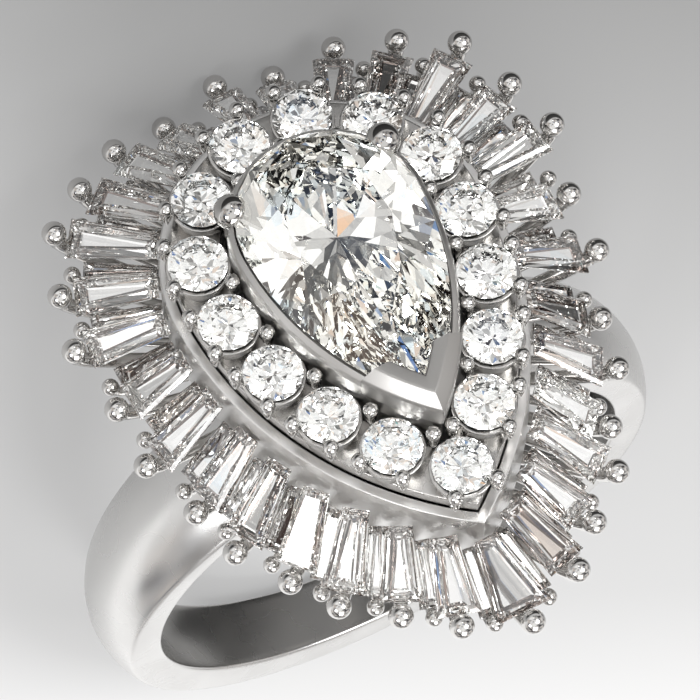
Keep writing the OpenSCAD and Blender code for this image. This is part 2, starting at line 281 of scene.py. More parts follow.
def ball_profile(r, z, start, steps=10):
    """Radii and heights of a ball from an angle below its middle to its top."""
    return [(r * math.cos(math.radians(a)), z + r * math.sin(math.radians(a)))
            for a in (lerp(start, 90, k / steps) for k in range(steps + 1))]


def placed(bm, xy):
    """Moves all of a mesh out to a place in the head's plane."""
    bmesh.ops.transform(bm, matrix=Matrix.Translation((*xy, 0)), verts=bm.verts)


# Node trees

class Tree:
    """A Geometry Nodes tree for one piece, with named inputs and a result."""

    def __init__(self, name):
        self.tree = bpy.data.node_groups.new(name, "GeometryNodeTree")
        for way in ("INPUT", "OUTPUT"):
            self.tree.interface.new_socket("Geometry", in_out=way,
                                           socket_type="NodeSocketGeometry")
        self.inputs = self.tree.nodes.new("NodeGroupInput")
        self.values = {}

    def input(self, name, kind, value):
        socket = self.tree.interface.new_socket(name, in_out="INPUT",
                                                socket_type="NodeSocket" + kind)
        self.values[socket.identifier] = value
        return self.inputs.outputs[name]

    def node(self, kind, settings=None, **links):
        """A node with its settings, and its sockets linked or set by name."""
        node = self.tree.nodes.new(kind)
        for key, value in (settings or {}).items():
            setattr(node, key, value)
        for key, value in links.items():
            socket = next(s for s in node.inputs if s.identifier == key.replace("_", " "))
            if isinstance(value, bpy.types.NodeSocket):
                self.tree.links.new(value, socket)
            else:
                socket.default_value = value
        return node

    def join(self, *parts):
        join = self.tree.nodes.new("GeometryNodeJoinGeometry")
        for part in parts:
            self.tree.links.new(part, join.inputs["Geometry"])
        return join.outputs["Geometry"]

    def end(self, geometry, material):
        """Realizes the instances and sets the piece's material."""
        real = self.node("GeometryNodeRealizeInstances", Geometry=geometry)
        done = self.node("GeometryNodeSetMaterial", Geometry=real.outputs["Geometry"])
        done.inputs["Material"].default_value = material
        output = self.tree.nodes.new("NodeGroupOutput")
        self.tree.links.new(done.outputs["Geometry"], output.inputs["Geometry"])

    def make(self, name, mesh, crease=CREASE):
        """Runs the tree on a mesh and gives its result as a plain object, laid down."""
        carrier = put(name, mesh)
        modifier = carrier.modifiers.new("tree", "NODES")
        modifier.node_group = self.tree
        for identifier, value in self.values.items():
            modifier[identifier] = value
        carrier.update_tag()
        shape = bpy.context.evaluated_depsgraph_get()
        result = bpy.data.meshes.new_from_object(carrier.evaluated_get(shape))
        carrier.modifiers.remove(modifier)
        carrier.data = laid_down(result, crease)
        return carrier


def hidden_part(name, bm):
    """A mesh in the head's frame that a node tree reads, and that is no piece itself."""
    return put(name, clean_mesh(name, bm))


def delete(*parts):
    for part in parts:
        bpy.data.objects.remove(part, do_unlink=True)


# Materials

class Finish:
    """A Principled material and short ways to add nodes to it."""

    def __init__(self, name, **values):
        self.material = bpy.data.materials.new(name)
        self.material.use_nodes = True
        self.nodes = self.material.node_tree.nodes
        self.links = self.material.node_tree.links
        self.shader = self.nodes["Principled BSDF"]
        for key, value in values.items():
            self.shader.inputs[key.replace("_", " ")].default_value = value
        self.place = self.nodes.new("ShaderNodeTexCoord").outputs["Object"]

    def noise(self, scale, detail):
        """Noise with so many lumps to a millimetre."""
        noise = self.nodes.new("ShaderNodeTexNoise")
        noise.inputs["Scale"].default_value = scale / MM
        noise.inputs["Detail"].default_value = detail
        self.links.new(self.place, noise.inputs["Vector"])
        return noise.outputs["Fac"]

    def below(self, level):
        """1 below a height in the head's frame, in millimetres, and 0 above it."""
        up = (LAY.to_3x3() @ Vector((0, 0, 1))).normalized()
        along = self.nodes.new("ShaderNodeVectorMath")
        along.operation = "DOT_PRODUCT"
        along.inputs[1].default_value = up
        self.links.new(self.place, along.inputs[0])
        under = self.nodes.new("ShaderNodeMath")
        under.operation = "LESS_THAN"
        under.inputs[1].default_value = (LAY @ Vector((0, 0, level))).dot(up)
        self.links.new(along.outputs["Value"], under.inputs[0])
        return under.outputs["Value"]

    def cells(self, scale):
        """A flat random colour in every cell, with so many cells to a millimetre."""
        cells = self.nodes.new("ShaderNodeTexVoronoi")
        cells.inputs["Scale"].default_value = scale / MM
        self.links.new(self.place, cells.inputs["Vector"])
        return cells.outputs["Color"]

    def ramp(self, source, *stops):
        """Colours at places along a source from 0 to 1."""
        ramp = self.nodes.new("ShaderNodeValToRGB")
        elements = ramp.color_ramp.elements
        while len(elements) < len(stops):
            elements.new(0.5)
        for element, (position, colour) in zip(elements, stops):
            element.position = position
            element.color = (*colour, 1) if isinstance(colour, tuple) else (colour,) * 3 + (1,)
        self.links.new(source, ramp.inputs["Fac"])
        return ramp.outputs["Color"]

    def scaled(self, source, share):
        """A colour made darker by a share."""
        scale = self.nodes.new("ShaderNodeVectorMath")
        scale.operation = "SCALE"
        scale.inputs["Scale"].default_value = share
        self.links.new(source, scale.inputs[0])
        return scale.outputs["Vector"]

    def drive(self, socket, source):
        self.links.new(source, self.shader.inputs[socket])

    def bump(self, source, height):
        """Bumps of so many millimetres."""
        bump = self.nodes.new("ShaderNodeBump")
        bump.inputs["Distance"].default_value = height * MM
        self.links.new(source, bump.inputs["Height"])
        self.links.new(bump.outputs["Normal"], self.shader.inputs["Normal"])


# Uneven polish: lumps to a millimetre of the tint and of the roughness, the share of the
# tint in its darker lumps, and where on the noise the low and the high values stand
TINT_LUMPS = 0.35
ROUGH_LUMPS = 0.6
DARKER = 0.95
LOW, HIGH = 0.3, 0.7


def polished_metal(name, tint, roughness_low, roughness_high, lumps, height):
    """White metal whose polish is a little uneven."""
    finish = Finish(name, Metallic=1.0)
    darker = tuple(c * DARKER for c in tint)
    tints = finish.ramp(finish.noise(TINT_LUMPS, detail=2), (LOW, darker), (HIGH, tint))
    finish.drive("Base Color", tints)
    finish.drive("Roughness", finish.ramp(
        finish.noise(ROUGH_LUMPS, detail=2), (LOW, roughness_low), (HIGH, roughness_high)))
    finish.bump(finish.noise(lumps, detail=1), height)
    return finish.material


# A stone's index of refraction, the blue and the warm tint of its painted fire, and the
# places on the ramp of its cells where one tint gives way to the next. The fire is painted
# into the stone's colour in place of the glints that dispersion gives
STONE_IOR = 2.15
PAINTED_FIRE = ((0.88, 0.95, 1.0), (1.0, 0.95, 0.9))
PAINTED_FIRE_STOPS = (0.0, 0.745, 0.75, 0.765, 0.77, 0.82, 0.825, 0.845, 0.85)


def cut_stone(name, tint, cell_scale, girdle):
    """Clear stone with faint coloured fire painted into its colour, in cells about as big as its
    facets: painted glints. Below its girdle it is a mirror, as a well cut stone's pavilion is
    to the light inside it."""
    finish = Finish(name, Transmission_Weight=1.0, Roughness=0.0, IOR=STONE_IOR)
    if girdle is not None:
        finish.drive("Metallic", finish.below(girdle))
    blue, warm = PAINTED_FIRE
    tints = (tint, tint, blue, blue, tint, tint, warm, warm, tint)
    finish.drive("Base Color", finish.ramp(finish.cells(cell_scale), *zip(PAINTED_FIRE_STOPS, tints)))
    return finish.material


# Metal finishes: tint, lowest and highest roughness, lumps to a millimetre, their height.
# The ring is of one white metal: its tints differ from part to part as painted light and
# shade, darker or lighter as each part looks under the light, and darkest in the bore as
# painted shade in the finger hole. The last two rows are the mirrors under the baguettes,
# the darker one painted shade
METALS = {
    "band_polish": ((0.66, 0.655, 0.645), 0.24, 0.3, 0.3, 0.002),
    "bore_painted_shade": ((0.44, 0.432, 0.42), 0.24, 0.3, 0.3, 0.002),
    "rim_polish": ((0.74, 0.732, 0.72), 0.26, 0.38, 1.0, 0.001),
    "collar_polish": ((0.55, 0.54, 0.525), 0.26, 0.36, 1.0, 0.001),
    "vee_polish": ((0.42, 0.412, 0.4), 0.34, 0.42, 1.0, 0.001),
    "claw_polish_and_shade": ((0.5, 0.49, 0.475), 0.05, 0.1, 2.0, 0.001),
    "prong_polish": ((0.62, 0.61, 0.595), 0.07, 0.14, 2.0, 0.002),
    "bright_cut": ((0.52, 0.51, 0.495), 0.18, 0.3, 4.0, 0.006),
    "baguette_pavilion": ((0.99, 0.988, 0.98), 0.0, 0.03, 1.0, 0.0),
    "baguette_painted_shade": ((0.3, 0.25, 0.23), 0.0, 0.03, 1.0, 0.0),
}
# Stone finishes: tint, cells of painted fire to a millimetre, height of the girdle or none
STONES = {
    "pear_stone_clear": ((1.0, 0.997, 0.985), 1.2, PEAR_LIFT - 0.06),
    "halo_stone_clear": ((0.96, 0.96, 0.955), 3.0, 0.0),
    "baguette_clear": ((0.998, 0.998, 0.996), 1.0, None),
}
metals = {name: polished_metal(name, *looks) for name, looks in METALS.items()}
stones = {name: cut_stone(name, *looks) for name, looks in STONES.items()}


# Pieces

def half_width(z):
    """Half of the band's width at a height above the middle of the finger."""
    return lerp(BAND_PALM_W, BAND_HEAD_W, (z / BAND_OUTER_R + 1) / 2) / 2


def band_section(turn, inside_steps=8, dome_steps=18):
    """Radii and places across the band of its cross-section, at an angle from the head."""
    rise = math.cos(turn)
    inner_edge = half_width(BORE_R * rise)
    dome_middle = BAND_OUTER_R - BAND_DOME_R
    # The radius of the dome's edge and the band's width there depend on each other, and
    # settle in a few rounds
    outer_r = BAND_OUTER_R
    for _ in range(6):
        outer_edge = half_width(outer_r * rise)
        outer_r = dome_middle + math.sqrt(BAND_DOME_R ** 2 - outer_edge ** 2)
    reach = math.asin(outer_edge / BAND_DOME_R)
    inside = [(BORE_R, lerp(-inner_edge, inner_edge, k / inside_steps))
              for k in range(inside_steps + 1)]
    dome = [(dome_middle + BAND_DOME_R * math.cos(a), BAND_DOME_R * math.sin(a))
            for a in (lerp(reach, -reach, k / dome_steps) for k in range(dome_steps + 1))]
    edges = {0, inside_steps, inside_steps + 1, inside_steps + 1 + dome_steps}
    return rounded(inside + dome, BAND_EDGE_R, corners=edges)


# Faces of the hoop no farther than this outside the bore are its inside, which takes a
# darker tint as painted shade in the finger hole
BORE_MARGIN = 0.01


def make_band(turns=256):
    """Half-round hoop, narrow at the palm and wide under the head."""
    rows = []
    for k in range(turns):
        turn = 2 * math.pi * k / turns
        rows.append([BAND_MIDDLE + Vector((r * math.sin(turn), y, r * math.cos(turn)))
                     for r, y in band_section(turn)])
    bm = bmesh.new()
    grid_faces(bm, rows)
    for face in bm.faces:
        spoke = face.calc_center_median() - BAND_MIDDLE
        # The inside takes the bore's darker tint: painted shade
        face.material_index = int(math.hypot(spoke.x, spoke.z) < BORE_R + BORE_MARGIN)
    return finished("band", bm, metals["band_polish"], metals["bore_painted_shade"])


# Gallery wall: distance outside the pear's outline, height
WALL_EDGE_R = 0.05
WALL_PROFILE = (
    (-1, BASE_Z), (1.5, BASE_Z), (1.9, BASE_Z + 0.2), (2.46, -4.2), (2.46, RIM_Z),
    (2.12, RIM_Z), (2.04, -1.9), (2.04, -4.2), (1.45, SEAT_Z), (-1, SEAT_Z))


def make_gallery_wall():
    """Funnel-shaped wall under the head, cut to sit on the band."""
    bm = bmesh.new()
    pear_sweep(bm, rounded(WALL_PROFILE, WALL_EDGE_R))
    wall = hidden_part("wall_blank", bm)
    saddle_r = BAND_OUTER_R + SOLDER_GAP
    saddle = bmesh.new()
    bmesh.ops.create_cone(
        saddle, cap_ends=True, segments=256, radius1=saddle_r, radius2=saddle_r,
        depth=BAND_HEAD_W + 2 * SOLDER_GAP)
    where = Matrix.Translation(BAND_MIDDLE) @ Matrix.Rotation(math.radians(90), 4, "X")
    bmesh.ops.transform(saddle, matrix=where, verts=saddle.verts)
    cutter = hidden_part("saddle_cutter", saddle)
    tree = Tree("gallery_wall")
    cut = tree.input("Saddle", "Object", cutter)
    info = tree.node("GeometryNodeObjectInfo", Object=cut)
    difference = tree.node("GeometryNodeMeshBoolean",
                           {"operation": "DIFFERENCE", "solver": "MANIFOLD"},
                           Mesh_1=tree.inputs.outputs["Geometry"],
                           Mesh_2=info.outputs["Geometry"])
    tree.end(difference.outputs["Mesh"], metals["rim_polish"])
    piece = tree.make("gallery_wall", wall.data)
    delete(wall, cutter)
    return piece


def rim_site(place):
    """Foot of a place on the rim, and the way straight out from it in degrees."""
    corner = side_turn(FAN_START)
    on_round = (PEAR_R + FAN_START + USUAL_REACH) * math.pi / 2
    on_side = (PEAR_SIDE_R + FAN_START + USUAL_REACH) * math.radians(corner)
    on_point = USUAL_REACH * math.radians(90 - corner)
    pos = place / (len(FAN_ROWS) - 1) * (on_round + on_side + on_point)
    if pos < on_round:
        turn = pos / on_round * 90 - 90
        foot = polar(PEAR_R + FAN_START, turn)
    elif pos < on_round + on_side:
        turn = (pos - on_round) / on_side * corner
        foot = polar(PEAR_SIDE_R + FAN_START, turn) - Vector((ARC_SHIFT, 0))
    else:
        turn = lerp(corner, 90, (pos - on_round - on_side) / on_point)
        foot = Vector((0, pear_tip(FAN_START)))
    return foot, turn


def fan_site(place, side, reach):
    """Foot of a prong, the way to its ball and how far that is. Past the swing's place the
    feet are evenly spaced along the rim, so that the stones swing round to the point."""
    foot, turn = rim_site(place)
    ball = foot + polar(reach, turn)
    if place > SWING_PLACE:
        corner = side_turn(FAN_START)
        last = len(FAN_ROWS) - 1
        share = (last - place) / (last - SWING_PLACE)
        turn = lerp(corner, rim_site(SWING_PLACE)[1], share)
        foot = polar(PEAR_SIDE_R + FAN_START, turn) - Vector((ARC_SHIFT, 0))
    way = flip(ball - foot, side)
    return flip(foot, side), math.degrees(math.atan2(way[1], way[0])), way.length


def lower_row(i):
    """Reach and height of a lower prong's ball, from its two upper neighbours."""
    (reach_a, high_a), (reach_b, high_b) = FAN_ROWS[i], FAN_ROWS[i + 1]
    level = lerp(min(high_a, high_b), max(high_a, high_b), LOWER_SHARE)
    return (reach_a + reach_b) / 2 - LOWER_BACK, level - LOWER_DROP


def prong_path(foot, turn, reach, height, level, r, bend_steps=6):
    """Points of one prong from its ball to the wall, with the radius at each of them."""
    slope = math.atan2(level - height, reach)
    out = polar(1, turn)

    def at(x, z):
        return Vector((foot[0] + out[0] * x, foot[1] + out[1] * x, z))

    ball = at(reach, height)
    bend = at(reach - KNEE * math.sin(slope), height - KNEE * math.cos(slope))
    root = at(-ROOT_BACK, ROOT_Z)
    points = [ball, ball.lerp(bend, 0.5)]
    for k in range(bend_steps + 1):
        t = k / bend_steps
        points.append(ball.lerp(bend, (1 + t) / 2).lerp(bend.lerp(root, CURVE_END * t), t))
    points += [bend.lerp(root, STEM_POINT), root]
    count = len(points) - 1
    return [(p, lerp(*STEM_SHARES, min(1, 2 * k / count)) * r) for k, p in enumerate(points)]


def make_ball_prongs():
    """The sixty prongs that hold the outer ends of the baguettes."""
    paths = []
    last = len(FAN_ROWS) - 1
    for i, (reach, height) in enumerate(FAN_ROWS):
        for side in ((1,) if i in (0, last) else (1, -1)):
            path = prong_path(*fan_site(i, side, reach), height, FAN_LEVEL, BALL_R)
            paths.append((path, BALL_R))
    for i in range(last):
        reach, height = lower_row(i)
        for side in (1, -1):
            path = prong_path(*fan_site(i + 0.5, side, reach), height,
                              FAN_LEVEL - LOWER_DROP, LOW_BALL_R)
            paths.append((path, LOW_BALL_R))
    mesh = bpy.data.meshes.new("prong_lines")
    verts, edges, thick, balls = [], [], [], []
    for path, r in paths:
        for k, (point, radius) in enumerate(path):
            if k:
                edges.append((len(verts) - 1, len(verts)))
            verts.append(point)
            thick.append(radius)
            balls.append(0 if k else r)
    mesh.from_pydata(verts, edges, [])
    mesh.attributes.new("thick", "FLOAT", "POINT").data.foreach_set("value", thick)
    mesh.attributes.new("ball", "FLOAT", "POINT").data.foreach_set("value", balls)

    tree = Tree("ball_prongs")
    start = tree.inputs.outputs["Geometry"]
    sides = tree.input("Stem sides", "Int", 14)
    rings = tree.input("Ball rings", "Int", 14)
    thickness = tree.node("GeometryNodeInputNamedAttribute", {"data_type": "FLOAT"}, Name="thick")
    ball = tree.node("GeometryNodeInputNamedAttribute", {"data_type": "FLOAT"}, Name="ball")
    line = tree.node("GeometryNodeMeshToCurve", Mesh=start)
    sized = tree.node("GeometryNodeSetCurveRadius", Curve=line.outputs["Curve"],
                      Radius=thickness.outputs["Attribute"])
    circle = tree.node("GeometryNodeCurvePrimitiveCircle", Resolution=sides, Radius=1.0)
    stems = tree.node("GeometryNodeCurveToMesh", Curve=sized.outputs["Curve"],
                      Profile_Curve=circle.outputs["Curve"], Fill_Caps=True,
                      Scale=thickness.outputs["Attribute"])
    segments = tree.input("Ball segments", "Int", 24)
    globe = tree.node("GeometryNodeMeshUVSphere", Segments=segments, Rings=rings, Radius=1.0)
    has_ball = tree.node("FunctionNodeCompare",
                         {"data_type": "FLOAT", "operation": "GREATER_THAN"})
    tree.tree.links.new(ball.outputs["Attribute"], has_ball.inputs["A"])
    has_ball.inputs["B"].default_value = SAME_PLACE
    globes = tree.node("GeometryNodeInstanceOnPoints", Points=start,
                       Selection=has_ball.outputs["Result"], Instance=globe.outputs["Mesh"],
                       Scale=ball.outputs["Attribute"])
    whole = tree.join(stems.outputs["Mesh"], globes.outputs["Instances"])
    tree.end(whole, metals["prong_polish"])
    return tree.make("ball_prongs", mesh, crease=PRONG_CREASE)


# Halo stone 0 is at the point and the others follow clockwise

def halo_centre(i):
    half = pear_half_length(HALO_OUT)
    along = 2 * half * (i % HALO_COUNT) / HALO_COUNT
    if along <= half:
        return pear_point(HALO_OUT, half - along)
    return flip(pear_point(HALO_OUT, along - half), -1)


def way_of(v):
    return math.degrees(math.atan2(v[1], v[0]))


def halo_out_way(i):
    return way_of(halo_centre(i + 0.5) - halo_centre(i - 0.5)) + 90


def halo_gap_way(i):
    return way_of(halo_centre(i + 1) - halo_centre(i)) + 90


def points_mesh(name, places):
    mesh = bpy.data.meshes.new(name)
    mesh.from_pydata([(p[0], p[1], 0) for p in places], [], [])
    return mesh


# The plate: distance outside the pear's outline, height. The cup and the hole bored in it:
# radius, height. Only the cup's first two corners are rounded, and the last two are left out
PLATE_EDGE_R = 0.06
PLATE_PROFILE = (
    (0.8, SEAT_Z + SOLDER_GAP), (1.2, SEAT_Z + SOLDER_GAP), (1.25, -1.9), (2.1, -1.4),
    (2.1, -0.9), (0.5, -0.9), (0.5, -1.4), (0.8, -1.9))
SEAT_RIM_R = HALO_D / 2 + SEAT_WALL
CUP_FOOT_Z = -1.5
CUP_EDGE_R = 0.04
CUP_PROFILE = (
    (0.74, CUP_FOOT_Z), (SEAT_RIM_R, SEAT_RIM_Z), (0.5, SEAT_RIM_Z), (0.5, CUP_FOOT_Z))
POCKET_R = HALO_D / 2 + SOLDER_GAP
POCKET_PROFILE = (
    (0, -2), (0.4, -2), (0.4, -0.8), (POCKET_R, -0.1), (POCKET_R, 0.2), (0, 0.2))


def make_halo_seats():
    """Plate and wall that carry fifteen cups, each bored through for its stone."""
    bm = bmesh.new()
    pear_sweep(bm, rounded(PLATE_PROFILE, PLATE_EDGE_R))
    plate = hidden_part("plate_blank", bm)
    cup = bmesh.new()
    outside = rounded(CUP_PROFILE, CUP_EDGE_R, corners={0, 1})[:-2]
    turned(cup, [(0, CUP_FOOT_Z)] + outside + [(0, SEAT_RIM_Z)], sides=48)
    seat = hidden_part("seat_blank", cup)
    bore = bmesh.new()
    turned(bore, POCKET_PROFILE, sides=48)
    pocket = hidden_part("pocket_cutter", bore)
    places = put("halo_places",
                 points_mesh("halo_places", [halo_centre(i) for i in range(HALO_COUNT)]))

    tree = Tree("halo_seats")
    parts = {}
    for name, part in (("Seat", seat), ("Pocket", pocket), ("Places", places)):
        info = tree.node("GeometryNodeObjectInfo", Object=tree.input(name, "Object", part))
        parts[name] = info.outputs["Geometry"]
    seats = tree.node("GeometryNodeInstanceOnPoints",
                      Points=parts["Places"], Instance=parts["Seat"])
    pockets = tree.node("GeometryNodeInstanceOnPoints",
                        Points=parts["Places"], Instance=parts["Pocket"])
    cups = tree.join(tree.inputs.outputs["Geometry"], seats.outputs["Instances"])
    union = tree.node("GeometryNodeMeshBoolean", {"operation": "UNION", "solver": "MANIFOLD"},
                      Mesh_2=cups)
    bored = tree.node("GeometryNodeMeshBoolean", {"operation": "DIFFERENCE", "solver": "MANIFOLD"},
                      Mesh_1=union.outputs["Mesh"], Mesh_2=pockets.outputs["Instances"])
    tree.end(bored.outputs["Mesh"], metals["bright_cut"])
    piece = tree.make("halo_seats", plate.data)
    delete(plate, seat, pocket, places)
    return piece


# Stem of a bead: radius, height
BEAD_STEM = ((0, -0.8), (0.07, -0.78), (BEAD_R - 0.07, -0.35), (BEAD_R - 0.06, 0))


def make_bead_prongs():
    """Small beads raised over the girdles of the halo stones, two outside each and one
    inside every gap that has no claw of the pear."""
    places = []
    for i in range(HALO_COUNT):
        for turn in (-BEAD_TURN, BEAD_TURN):
            way = halo_out_way(i) + turn
            places.append(halo_centre(i) + polar(HALO_D / 2 + BEAD_OUT, way))
        if i not in CLAW_GAPS:
            middle = (halo_centre(i) + halo_centre(i + 1)) / 2
            places.append(middle + polar(-INNER_BEAD_BACK, halo_gap_way(i)))
    bm = bmesh.new()
    turned(bm, [*BEAD_STEM, *ball_profile(BEAD_R, BEAD_Z, start=BEAD_START)], sides=20)
    bead = hidden_part("bead_blank", bm)
    tree = Tree("bead_prongs")
    info = tree.node("GeometryNodeObjectInfo", Object=tree.input("Bead", "Object", bead))
    beads = tree.node("GeometryNodeInstanceOnPoints", Points=tree.inputs.outputs["Geometry"],
                      Instance=info.outputs["Geometry"])
    tree.end(beads.outputs["Instances"], metals["prong_polish"])
    piece = tree.make("bead_prongs", points_mesh("bead_places", places), crease=PRONG_CREASE)
    delete(bead)
    return piece


# Pear setting: distance outside the pear's outline, height. The notch is cut out of the
# claws for the stone
COLLET_EDGE_R = 0.03
COLLET_PROFILE = (
    (-0.95, SEAT_Z + SOLDER_GAP), (-0.5, SEAT_Z + SOLDER_GAP), (0.1, -1.3), (0.27, -0.3),
    (0.27, PEAR_LIFT - 0.55), (0.2, PEAR_LIFT - 0.32), (0.06, PEAR_LIFT - 0.16),
    (0.03, PEAR_LIFT - 0.17), (-0.2, PEAR_LIFT - 0.42), (-0.42, PEAR_LIFT - 0.75))
NOTCH_PROFILE = (
    (-1.2, PEAR_LIFT - 1.2), (-0.4, PEAR_LIFT - 0.5), (0.03, PEAR_LIFT - 0.15),
    (0.03, PEAR_LIFT + 0.03), (-1.2, PEAR_LIFT + 1.2))
VEE_EDGE_R = 0.05
VEE_PROFILE = (
    (0, PEAR_LIFT - 0.9), (0.12, PEAR_LIFT - 1.05), (0.34, PEAR_LIFT - 0.8),
    (0.38, PEAR_LIFT + 0.14), (0.34, PEAR_LIFT + 0.24), (-0.04, PEAR_LIFT + 0.64),
    (-0.48, PEAR_LIFT + 0.62), (-0.52, PEAR_LIFT + 0.5), (0.05, PEAR_LIFT + 0.05),
    (0.05, PEAR_LIFT - 0.2), (0, PEAR_LIFT - 0.3))


def make_pear_collet():
    """The wall that stands close round the pear stone and carries its girdle."""
    bm = bmesh.new()
    pear_sweep(bm, rounded(COLLET_PROFILE, COLLET_EDGE_R))
    return finished("pear_collet", bm, metals["collar_polish"])


def stone_notch():
    """Cutter that keeps the claws clear of the pear stone's girdle."""
    bm = bmesh.new()
    pear_sweep(bm, NOTCH_PROFILE)
    return hidden_part("stone_notch", bm)


def make_pear_claws():
    """Two claws with round tops at the pear's round end."""
    bm = bmesh.new()
    for turn in (CLAW_TURN, 180 - CLAW_TURN):
        claw = bmesh.new()
        top = ball_profile(CLAW_R, CLAW_BALL_Z, start=CLAW_BALL_START, steps=14)
        turned(claw, [*CLAW_POST, *top], sides=40)
        placed(claw, polar(PEAR_R + CLAW_OUT, turn))
        bm.from_mesh(plain_mesh("claw", claw))
    claws = hidden_part("claw_blank", bm)
    notch = stone_notch()
    tree = Tree("pear_claws")
    info = tree.node("GeometryNodeObjectInfo", Object=tree.input("Notch", "Object", notch))
    cut = tree.node("GeometryNodeMeshBoolean", {"operation": "DIFFERENCE", "solver": "MANIFOLD"},
                    Mesh_1=tree.inputs.outputs["Geometry"], Mesh_2=info.outputs["Geometry"])
    tree.end(cut.outputs["Mesh"], metals["claw_polish_and_shade"])
    piece = tree.make("pear_claws", claws.data, crease=CLAW_CREASE)
    delete(claws, notch)
    return piece


def make_vee_prong(steps=14):
    """Folded prong over the pear's point: two flat arms that meet in a ridge."""
    start_y = pear_tip(0) - VEE_LENGTH
    rows = []
    for out, height in rounded(VEE_PROFILE, VEE_EDGE_R):
        r = PEAR_SIDE_R + out
        first = math.degrees(math.asin(start_y / r))
        half = [polar(r, lerp(first, side_turn(out), k / steps)) - Vector((ARC_SHIFT, 0))
                for k in range(steps + 1)]
        arms = half + [flip(p, -1) for p in reversed(half[:-1])]
        rows.append([(*p, height) for p in arms])
    bm = bmesh.new()
    verts = grid_faces(bm, rows, close_columns=False)
    for end in (0, -1):
        bm.faces.new([row[end] for row in verts])
    return finished("vee_prong", bm, metals["vee_polish"])


def islands(bm):
    """The separate stones of a mesh, each as a list of its faces."""
    seen = set()
    for first in bm.faces:
        if first in seen:
            continue
        seen.add(first)
        stone, edge = [], [first]
        while edge:
            face = edge.pop()
            stone.append(face)
            for near in (f for e in face.edges for f in e.link_faces if f not in seen):
                seen.add(near)
                edge.append(near)
        yield stone


# Baguettes: faces that turn less than an angle against each other are one facet, and the
# ones that face down make the underside. Each of its facets has a step, so far in and so
# deep, and a share of the steps is a darker brownish mirror, picked with a seed: painted
# dark reflections for the dark lines between the facets
FLAT_ANGLE = 1
FACING_DOWN = -0.12
STEP_IN = 0.09
STEP_DEEP = 0.016
SHADED_STEPS = 0.26
SHADE_SEED = 5


def mirror_backed(name, node):
    """A copy of packed baguettes, clear above the girdle and a mirror below it, as the
    pavilion of a well cut stone is to the light inside."""
    head_up = (LAY.to_3x3() @ Vector((0, 0, 1))).normalized()
    bm = bmesh.new()
    bm.from_mesh(nodes[node].data)
    bmesh.ops.remove_doubles(bm, verts=bm.verts, dist=SAME_PLACE * MM)
    bmesh.ops.dissolve_limit(bm, angle_limit=math.radians(FLAT_ANGLE), verts=bm.verts,
                             edges=bm.edges)
    below = []
    for stone in islands(bm):
        corners = np.array([v.co for v in dict.fromkeys(v for f in stone for v in f.verts)])
        spread = np.linalg.eigh(np.cov(corners.T))
        up = Vector(spread.eigenvectors[:, 0])
        if up.dot(head_up) < 0:
            up.negate()
        for face in stone:
            face.normal_update()
            face.material_index = int(face.normal.dot(up) < FACING_DOWN)
            if face.material_index:
                below.append(face)
    steps = bmesh.ops.inset_individual(bm, faces=below, thickness=STEP_IN * MM,
                                       depth=STEP_DEEP * MM)
    chance = random.Random(SHADE_SEED)
    # A shaded step takes the darker mirror: painted dark reflection
    for face in steps["faces"]:
        if chance.random() < SHADED_STEPS:
            face.material_index = 2
    return put(name, plain_mesh(name, bm, stones["baguette_clear"],
                                metals["baguette_pavilion"], metals["baguette_painted_shade"]))


def dress(node, material):
    """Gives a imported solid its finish."""
    for slot in nodes[node].material_slots:
        slot.material = material


def stand_for(piece, node):
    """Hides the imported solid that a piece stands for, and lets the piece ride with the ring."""
    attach(piece, "root")
    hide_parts(node)


stand_for(make_band(), "shank")
for piece in (make_gallery_wall(), make_ball_prongs()):
    stand_for(piece, "gallery")
for piece in (make_halo_seats(), make_bead_prongs()):
    stand_for(piece, "halo_setting")
for piece in (make_pear_collet(), make_pear_claws(), make_vee_prong()):
    stand_for(piece, "pear_setting")
dress("pear_stone", stones["pear_stone_clear"])
for i in range(1, HALO_COUNT + 1):
    dress(f"halo_stone_{i:02d}", stones["halo_stone_clear"])
for level in ("upper", "lower"):
    stand_for(mirror_backed(f"{level}_stones", f"{level}_baguettes"), f"{level}_baguettes")


# Floor, light and camera

# The camera fitted to the photograph: its axes as rows in the head's frame, image right,
# image down and forward, its distance in millimetres from the head's origin, the picture's
# scale there, and the pixel where the origin is seen
CAMERA_AXES = Matrix(((-0.8887, 0.4581, -0.0185),
                      (0.4214, 0.8002, -0.4267),
                      (-0.1807, -0.387, -0.9042)))
CAMERA_DISTANCE = 200
PIXELS_PER_MM = 32.21
HEAD_PIXEL = (330.51, 235.23)
IMAGE_SIZE = 700
SENSOR = 36
CLIP = (0.005, 20)
# The floor: half of its side in metres, its gradient's way and run in millimetres, its
# shades at places along that way, and how much of a shade reflects and how much glows. The
# gradient is painted shade, and the glow is painted light, as the floor is no lamp
FLOOR_SIZE = 1.5
FLOOR_WAY = Vector((0.506, 0.862))
FLOOR_TURN = math.atan2(FLOOR_WAY[1], FLOOR_WAY[0])
FLOOR_RUN = (-60, 40)
FLOOR_SHADES = (
    (-60, 0.6), (-30, 0.42), (-13, 0.33), (1, 0.52), (12, 0.6), (18, 0.74), (24, 1.0))
FLOOR_LIT = 0.45
FLOOR_GLOW = 0.55
# Black cards on the floor that only reflections see, painted dark reflections: the front one
# for the dark edges of the balls, the inner one for shade inside the bore. Middle, length,
# width and turn
CARD_HEIGHT = 0.1
CARDS = {"front_card": (FLOOR_WAY * -39, 44, 140, FLOOR_TURN),
         "inner_card": (Vector((-2.5, 5)), 12, 11, 0)}
# The tent's noise, from dark to bright, with a thin blue and a thin warm edge for fire
TENT_LUMPS = 3.0
TENT_SHADES = (
    (0.39, (0.05, 0.036, 0.032)), (0.405, (0.16, 0.22, 0.36)), (0.415, (0.42, 0.42, 0.415)),
    (0.52, (0.66, 0.65, 0.64)), (0.545, (0.9, 0.72, 0.6)), (0.565, (1.0, 1.0, 1.0)))
